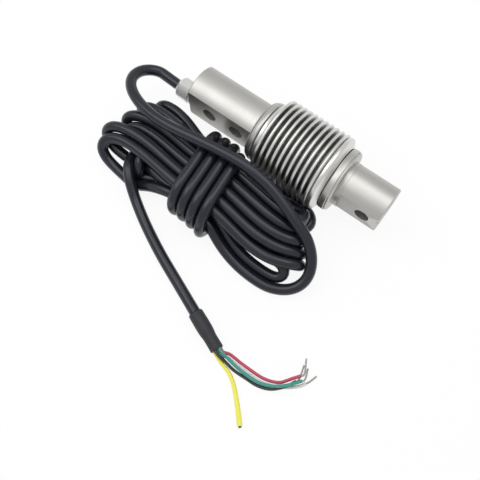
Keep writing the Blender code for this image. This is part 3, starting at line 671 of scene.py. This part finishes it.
def hexagon(x_from, x_to, corner):
    """A six-sided bar along the gland's axis."""
    alone()
    tilt = Matrix.Rotation(math.pi / 2, 3, "Y") @ Matrix.Rotation(HEX_TURN, 3, "Z")
    bpy.ops.mesh.primitive_cylinder_add(
        vertices=6, radius=corner, depth=x_to - x_from,
        location=((x_from + x_to) / 2, GLAND_Y, GLAND_Z), rotation=tilt.to_euler())
    return bpy.context.object


nut = settle(hexagon(NUT_FROM, NUT_TO, NUT_CORNER), "gland_dome_nut")
cut(nut, turned("nut_shape", [
    (NUT_FROM - 0.00001, 0.0039), (NUT_FROM + 0.0004, 0.0046), (NUT_FROM + 0.0011, 0.00535),
    (NUT_FROM + 0.0019, 0.00600), (NUT_FROM + 0.0026, NUT_ROUND), (NUT_TO - 0.0006, NUT_ROUND),
    (NUT_TO + 0.00001, 0.0058),
], GLAND_SIDES, (GLAND_Y, GLAND_Z)), "INTERSECT")
nut_middle = ((NUT_FROM + NUT_TO) / 2, GLAND_Y, GLAND_Z)
cut(nut, drill(nut_middle, CABLE_BORE, NUT_BORE_LENGTH, ALONG, GLAND_SIDES))
cut(nut, drill((NUT_TO, GLAND_Y, GLAND_Z), NUT_SOCKET_RADIUS, 2 * NUT_SOCKET_DEPTH, ALONG,
               GLAND_SIDES))
break_edges(nut, 0.00015)
finished(nut, milled=True)
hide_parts("gland_nut")


def gland_outline():
    """From the nut to the bar: thread, core of the hexagon, flange and spigot."""
    points = [(THREAD_FROM - 0.0002, 0.0038)]
    x = THREAD_FROM
    while x < THREAD_TO:
        points += [(x, SPIGOT_RADIUS), (x + THREAD_PITCH / 2, SPIGOT_RADIUS - THREAD_DEPTH)]
        x += THREAD_PITCH
    points += [(HEX_FROM, 0.0040), (HEX_FROM, 0.0048), (HEX_TO, 0.0048), (HEX_TO, 0.0054),
               (-0.0552, 0.0056), (-0.0543, 0.0056), (-0.0541, 0.0054), (-0.0541, 0.0037),
               (-0.0492, 0.0037)]
    return points


gland = turned("gland_stem", gland_outline(), GLAND_SIDES, (GLAND_Y, GLAND_Z))
cut(gland, hexagon(HEX_FROM, HEX_TO, HEX_CORNER), "UNION")
gland_middle = (GLAND_BORE_MIDDLE, GLAND_Y, GLAND_Z)
cut(gland, drill(gland_middle, CABLE_BORE, GLAND_BORE_LENGTH, ALONG, GLAND_SIDES))
finished(gland)
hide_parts("gland_body")


# Bright nickel plating, smooth but for small handling marks.
def nickel_finish():
    finish = Finish("nickel_plate", (0.88, 0.88, 0.86), 0.75, 0.30)
    cloud = finish.noise(300.0, 3.0)
    finish.feed("Base Color", finish.tint(cloud, (0.90, 0.90, 0.88), (0.76, 0.76, 0.74)))
    finish.feed("Roughness", cloud * 0.12 + 0.16)
    finish.relief(finish.noise(2400.0, 2.0), 0.15, 0.00003)
    return finish


nickel_finish().onto(nut, gland)


# A black heat-shrink sleeve covers the end of the sheath. It is tight on the cable at
# one end and shrunk onto the bundle of wires at the other, where its mouth is open.
SLEEVE_FROM = Vector((0.0170, -0.0972, 0.0042))
SLEEVE_TO = Vector((0.0372, -0.1053, 0.0037))
SLEEVE_ALONG = (SLEEVE_TO - SLEEVE_FROM).normalized()
SLEEVE_LENGTH = (SLEEVE_TO - SLEEVE_FROM).length
SLEEVE_SIDES = 64


def onto_line(piece, start, heading):
    """Move a piece made along X from the origin so that it starts here and points there."""
    turn = heading.to_track_quat("X", "Z").to_matrix().to_4x4()
    piece.data.transform(Matrix.Translation(start) @ turn)


sleeve = turned("shrink_sleeve", [
    (0.0, 0.0030), (0.0, 0.0036), (0.0003, 0.0038), (0.0012, 0.0039), (0.0060, 0.0040),
    (0.0100, 0.00395), (0.0120, 0.0038), (0.0134, 0.0036), (0.0148, 0.00348), (0.0165, 0.00345),
    (SLEEVE_LENGTH - 0.0006, 0.0035), (SLEEVE_LENGTH - 0.0001, 0.0034), (SLEEVE_LENGTH, 0.0032),
    (SLEEVE_LENGTH - 0.0003, 0.0030), (SLEEVE_LENGTH - 0.0025, 0.0029),
], SLEEVE_SIDES, (0.0, 0.0))
onto_line(sleeve, SLEEVE_FROM, SLEEVE_ALONG)
finished(sleeve)
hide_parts("end_sleeve")


# Matt charcoal plastic that shows faint ridges of what lies beneath.
def sleeve_finish():
    finish = Finish("shrink_matt", (0.019, 0.020, 0.026), 0.0, 0.58)
    cloud = finish.noise(260.0, 3.0)
    finish.feed("Base Color", finish.tint(cloud, (0.014, 0.015, 0.020), (0.032, 0.033, 0.041)))
    finish.feed("Roughness", cloud * 0.2 + 0.46)
    finish.relief(finish.noise(500.0, 2.0) + finish.noise(4200.0, 1.0) * 0.3, 0.4, 0.00015)
    return finish


sleeve_finish().onto(sleeve)


# Four insulated wires fan out of the sleeve, curve to the right along the surface, and
# end in short twists of tinned copper.
WIRE_DIAMETER = 0.0017
FAN_RADIUS = 0.00195
TIP_STRAIGHT, TIP_DROP = 0.0015, 0.0003
WIRE_STRAIGHT, SCREEN_STRAIGHT = 0.0023, 0.0025
SLEEVE_ACROSS = Vector((-SLEEVE_ALONG.y, SLEEVE_ALONG.x, 0.0))
UP = Vector((0.0, 0.0, 1.0))
INSIDE_SLEEVE, INSIDE_WIRE = 0.0022, 0.0004
STRANDS = 7
STRAND_RADIUS = 0.00017
TWIST_RADIUS, TWIST_TURNS = 0.00033, 2.2
WIRE_COLOURS = {"red": (0.62, 0.045, 0.12), "white": (0.78, 0.78, 0.76),
                "green": (0.018, 0.33, 0.26), "black": (0.012, 0.012, 0.014)}
# Each wire's place round the sleeve's mouth in degrees, the way its bare end goes on, and
# its route
WIRES = {
    "red": (-16, (-0.0026, 0.0086), [
        (0.0434, -0.1033, 0.0024), (0.0500, -0.1033, 0.0012), (0.0570, -0.1032, 0.0010),
        (0.0632, -0.1028, 0.0010), (0.0683, -0.1013, 0.0010), (0.0718, -0.0992, 0.0012),
        (0.0736, -0.0969, 0.0018), (0.0756, -0.0941, 0.0026), (0.0780, -0.0909, 0.0028)]),
    "white": (272, (0.0022, 0.0060), [
        (0.0440, -0.1052, 0.0016), (0.0500, -0.1053, 0.0010), (0.0570, -0.1052, 0.0010),
        (0.0634, -0.1049, 0.0010), (0.0688, -0.1033, 0.0010), (0.0732, -0.1010, 0.0010),
        (0.0775, -0.0980, 0.0010), (0.0806, -0.0948, 0.0010), (0.0822, -0.0922, 0.0010)]),
    "green": (56, (-0.0010, 0.0068), [
        (0.0434, -0.1056, 0.0044), (0.0495, -0.1064, 0.0036), (0.0565, -0.1066, 0.0030),
        (0.0630, -0.1060, 0.0030), (0.0684, -0.1040, 0.0034), (0.0722, -0.1016, 0.0046),
        (0.0754, -0.0986, 0.0050), (0.0779, -0.0954, 0.0039), (0.0798, -0.0927, 0.0030)]),
    "black": (128, (-0.0012, 0.0090), [
        (0.0434, -0.1076, 0.0030), (0.0498, -0.1083, 0.0016), (0.0566, -0.1079, 0.0010),
        (0.0636, -0.1073, 0.0010), (0.0692, -0.1052, 0.0020), (0.0730, -0.1019, 0.0028),
        (0.0756, -0.0984, 0.0029), (0.0776, -0.0944, 0.0013)]),
}


def sleeve_mouth(degrees):
    turn = math.radians(degrees)
    return SLEEVE_TO + (SLEEVE_ACROSS * math.cos(turn) + UP * math.sin(turn)) * FAN_RADIUS


def twisted(line, reach, turns):
    """Lines of fine strands twisted round a middle one."""
    points = [Vector(p) for p in line]
    last = len(points) - 1
    lines = []
    for strand in range(STRANDS):
        away = 0.0 if strand == STRANDS - 1 else reach
        lines.append([])
        for i, place in enumerate(points):
            ahead = (points[min(i + 1, last)] - points[max(i - 1, 0)]).normalized()
            side = ahead.cross(UP).normalized()
            above = side.cross(ahead)
            turn = math.tau * (turns * i / last + strand / (STRANDS - 1))
            lines[-1].append(place + (side * math.cos(turn) + above * math.sin(turn)) * away)
    return lines


def paler(colour):
    return tuple(0.75 * c + 0.06 for c in colour)


def wire_finish(name, colour, marked):
    finish = Finish(name, colour, 0.0, 0.34)
    cloud = finish.noise(500.0, 3.0)
    finish.feed("Base Color", finish.tint(cloud, colour, marked))
    finish.feed("Roughness", cloud * 0.16 + 0.26)
    finish.relief(finish.noise(1800.0, 2.0), 0.2, 0.00005)
    return finish


def tinned_finish(name, colour, darker):
    finish = Finish(name, colour, 1.0, 0.3)
    cloud = finish.noise(1500.0, 3.0)
    finish.feed("Base Color", finish.tint(cloud, colour, darker))
    finish.feed("Roughness", cloud * 0.2 + 0.2)
    return finish


tinned = tinned_finish("tinned_copper", (0.52, 0.51, 0.485), (0.32, 0.31, 0.29))
for name, (degrees, reach, route) in WIRES.items():
    mouth = sleeve_mouth(degrees)
    inside = mouth - SLEEVE_ALONG * INSIDE_SLEEVE
    line = smooth_line([inside, mouth, mouth + SLEEVE_ALONG * WIRE_STRAIGHT] + route, 8)
    wire = strands(name + "_lead_wire", [line], WIRE_DIAMETER / 2, 4)
    colour = WIRE_COLOURS[name]
    wire_finish(name + "_insulation", colour, paler(colour)).onto(wire)
    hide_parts(name + "_wire")
    end, before = Vector(line[-1]), Vector(line[-2])
    heading = (end - before).normalized()
    bare = end - heading * INSIDE_WIRE
    bare_route = [bare, end + heading * TIP_STRAIGHT, end + Vector((*reach, -TIP_DROP))]
    tip_lines = twisted(smooth_line(bare_route, 10), TWIST_RADIUS, TWIST_TURNS)
    tip = strands(name + "_bare_end", tip_lines, STRAND_RADIUS, 2)
    tinned.onto(tip)
    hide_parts(name + "_wire_tip")


# The cable's screen is drawn together in a yellow plastic sleeve that widens to its cut
# end, where the dark ends of the braid show.
SCREEN_ROUTE = [(0.0426, -0.1092, 0.0017), (0.0480, -0.1106, 0.0014), (0.0530, -0.1134, 0.0014),
                (0.0577, -0.1174, 0.0014), (0.0628, -0.1224, 0.0015), (0.0679, -0.1278, 0.0016)]
SCREEN_RADIUS = 0.0014
SCREEN_PLACE, SCREEN_START, SCREEN_GROWTH = 200, 0.62, 1.5
BRAID_RADIUS, BRAID_TURNS, BRAID_POINTS, BRAID_STEP = 0.00062, 0.3, 7, 0.0002
mouth = sleeve_mouth(SCREEN_PLACE)
inside = mouth - SLEEVE_ALONG * INSIDE_SLEEVE
outside = mouth + SLEEVE_ALONG * SCREEN_STRAIGHT
screen_line = smooth_line([inside, mouth, outside] + SCREEN_ROUTE, 8)
grow = np.linspace(0.0, 1.0, len(screen_line)) ** SCREEN_GROWTH
widths = SCREEN_START + (1 - SCREEN_START) * grow
screen = strands("screen_sleeve", [screen_line], SCREEN_RADIUS, 5, widths)
yellow = wire_finish("yellow_sleeving", (0.88, 0.82, 0.06), (0.92, 0.88, 0.16))
yellow.onto(screen)
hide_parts("yellow_sleeve")
end, before = Vector(screen_line[-1]), Vector(screen_line[-2])
heading = (end - before).normalized()
braid_line = [end + heading * (BRAID_STEP * i - INSIDE_WIRE) for i in range(BRAID_POINTS)]
braid_lines = twisted(braid_line, BRAID_RADIUS, BRAID_TURNS)
braid = strands("screen_end", braid_lines, STRAND_RADIUS, 2)
tinned_finish("dark_braid", (0.16, 0.14, 0.11), (0.06, 0.05, 0.045)).onto(braid)
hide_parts("shield_tip")


# Inside the bar: foil gauges on amber film over the window's thin webs, a small laminate
# board with two trimming chips under the beam, and the four thin leads that reach it.
def inner_finish(name, colour, marked, scale, shine):
    finish = Finish(name, colour, 0.0, shine)
    cloud = finish.noise(scale, 3.0)
    finish.feed("Base Color", finish.tint(cloud, colour, marked))
    finish.feed("Roughness", cloud * 0.2 + (shine - 0.1))
    finish.relief(cloud, 0.2, 0.00004)
    return finish


inner_finish("gauge_film", (0.72, 0.42, 0.10), (0.40, 0.20, 0.06), 900.0, 0.4).onto(
    *(f"strain_gauge_{i}" for i in range(1, 5)))
inner_finish("board_laminate", (0.03, 0.20, 0.08), (0.05, 0.28, 0.12), 700.0, 0.45).onto(
    "terminal_board")
inner_finish("chip_body", (0.03, 0.03, 0.035), (0.07, 0.07, 0.075), 1500.0, 0.4).onto(
    "trim_resistor_1", "trim_resistor_2")
inner_finish("seal_rubber", (0.02, 0.02, 0.02), (0.05, 0.05, 0.05), 900.0, 0.75).onto(
    "gland_seal", "gland_o_ring")
for name, colour in WIRE_COLOURS.items():
    wire_finish("inner_" + name, colour, paler(colour)).onto("inner_lead_" + name)


# A white table under three soft lamps, in front, behind and to the left, with plain light
# all round. The camera sees table and surroundings as white, and the metal nearly so.
def seen_directly(tree):
    """1 for camera, glossy and transmission rays, and 0 for the rest."""
    rays = tree.nodes.new("ShaderNodeLightPath")
    total = rays.outputs["Is Camera Ray"]
    for name in ("Is Glossy Ray", "Is Transmission Ray"):
        either = tree.nodes.new("ShaderNodeMath")
        either.operation = "MAXIMUM"
        tree.links.new(total, either.inputs[0])
        tree.links.new(rays.outputs[name], either.inputs[1])
        total = either.outputs[0]
    return total


TABLE_LIFT = 0.90
bpy.ops.object.select_all(action="DESELECT")
bpy.ops.mesh.primitive_plane_add(size=8.0, location=(0.0, 0.0, -0.0001))
table = bpy.context.object
table.name = "table"
paper = bpy.data.materials.new("white_table")
paper.use_nodes = True
tree = paper.node_tree
tree.nodes.clear()
matt = tree.nodes.new("ShaderNodeBsdfDiffuse")
matt.inputs["Color"].default_value = (1.0, 1.0, 1.0, 1.0)
glow = tree.nodes.new("ShaderNodeEmission")
glow.inputs["Color"].default_value = (1.0, 1.0, 1.0, 1.0)
share = tree.nodes.new("ShaderNodeMath")
share.operation = "MULTIPLY"
share.inputs[1].default_value = TABLE_LIFT
tree.links.new(seen_directly(tree), share.inputs[0])
both = tree.nodes.new("ShaderNodeMixShader")
tree.links.new(share.outputs[0], both.inputs[0])
tree.links.new(matt.outputs[0], both.inputs[1])
tree.links.new(glow.outputs[0], both.inputs[2])
surface = tree.nodes.new("ShaderNodeOutputMaterial")
tree.links.new(both.outputs[0], surface.inputs["Surface"])
table.data.materials.append(paper)

ROOM_LEVEL = 0.66
world = bpy.data.worlds.new("room")
world.use_nodes = True
tree = world.node_tree
sky = tree.nodes["Background"]
sky.inputs["Color"].default_value = (1.0, 1.0, 1.0, 1.0)
level = tree.nodes.new("ShaderNodeMapRange")
level.inputs["To Min"].default_value = ROOM_LEVEL
level.inputs["To Max"].default_value = 1.0
rays = tree.nodes.new("ShaderNodeLightPath")
tree.links.new(rays.outputs["Is Camera Ray"], level.inputs["Value"])
tree.links.new(level.outputs["Result"], sky.inputs["Strength"])
scene.world = world


def soft_lamp(name, place, aim, size, level):
    """A square lamp that shines at this level over its whole face."""
    lamp = bpy.data.lights.new(name, "AREA")
    lamp.size = size
    lamp.energy = level * math.pi * size ** 2
    holder = bpy.data.objects.new(name, lamp)
    holder.location = place
    holder.rotation_euler = (Vector(aim) - Vector(place)).to_track_quat("-Z", "Y").to_euler()
    scene.collection.objects.link(holder)


soft_lamp("front_lamp", (-0.22, -0.15, 0.50), (-0.03, -0.02, 0.0), 0.36, 1.7)
soft_lamp("back_lamp", (0.06, 0.12, 0.54), (0.04, -0.02, 0.0), 0.34, 1.6)
soft_lamp("side_lamp", (-0.50, -0.20, 0.45), (0.0, -0.02, 0.0), 0.25, 1.0)
